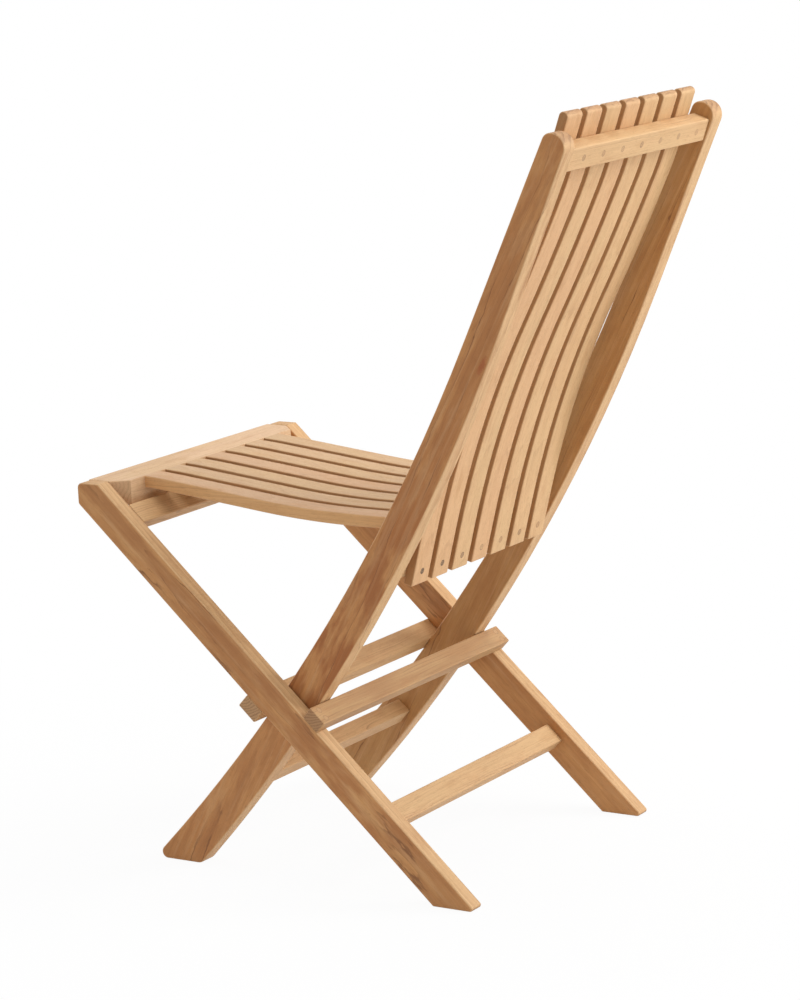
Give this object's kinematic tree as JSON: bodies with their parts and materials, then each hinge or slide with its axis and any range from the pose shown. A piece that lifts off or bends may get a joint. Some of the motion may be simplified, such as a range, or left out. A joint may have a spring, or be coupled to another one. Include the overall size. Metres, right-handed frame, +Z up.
{
  "type": "folding slatted chair",
  "caption": "Folding wooden side chair with a high bowed slatted back, a slatted seat and crossed legs; it folds flat about the leg pivots and the seat turns on the leg tops.",
  "frame": {"origin": "on the floor, under the middle of the whole chair as it stands open", "axes": "+X to the sitter's left, +Y from the front of the seat to the back, +Z up"},
  "size_m": [0.441, 0.6835, 0.9308],
  "materials": {
    "frame_wood": "sanded teak, unvarnished",
    "slat_wood": "sanded teak, unvarnished, paler",
    "plug_wood": "end-grain teak plugs",
    "brass": "plain"
  },
  "bodies": {
    "back_frame": {"stile_left": "frame_wood", "stile_right": "frame_wood", "top_back_rail": "frame_wood", "lower_back_rail": "frame_wood", "front_stretcher": "frame_wood", "back_slat_1": "slat_wood", "back_slat_2": "slat_wood", "back_slat_3": "slat_wood", "back_slat_4": "slat_wood", "back_slat_5": "slat_wood", "back_slat_6": "slat_wood", "back_slat_7": "slat_wood", "top_rail_plugs": "plug_wood", "top_rail_screws": "brass", "slat_foot_plugs": "plug_wood", "slat_foot_screws": "brass"},
    "leg_frame": {"leg_left": "frame_wood", "leg_right": "frame_wood", "apron_rail": "frame_wood", "front_stop_bar": "frame_wood", "rear_stop_bar": "frame_wood", "rear_stretcher": "frame_wood", "front_bar_plugs": "plug_wood", "front_bar_screws": "brass", "rear_bar_plugs": "plug_wood", "rear_bar_screws": "brass", "main_pivot_pins": "brass", "pivot_washers": "brass", "seat_pivot_pins": "brass"},
    "seat": {"seat_front_rail": "frame_wood", "seat_rear_rail": "frame_wood", "seat_slat_1": "slat_wood", "seat_slat_2": "slat_wood", "seat_slat_3": "slat_wood", "seat_slat_4": "slat_wood", "seat_slat_5": "slat_wood", "seat_slat_6": "slat_wood", "seat_slat_7": "slat_wood", "seat_rail_screws": "brass"}
  },
  "joints": [
    {"name": "leg_fold", "type": "hinge", "parent": "back_frame", "child": "leg_frame", "pos_m": [0, -0.055, 0.2124], "axis": [-1, 0, 0], "range_deg": [0, 71]},
    {"name": "seat_fold", "type": "hinge", "parent": "leg_frame", "child": "seat", "pos_m": [0, -0.32195, 0.4617], "axis": [1, 0, 0], "range_deg": [0, 139]}
  ],
  "couplings": [
    {"joint": "seat_fold", "follows": "leg_fold", "ratio": 1.9577}
  ]
}
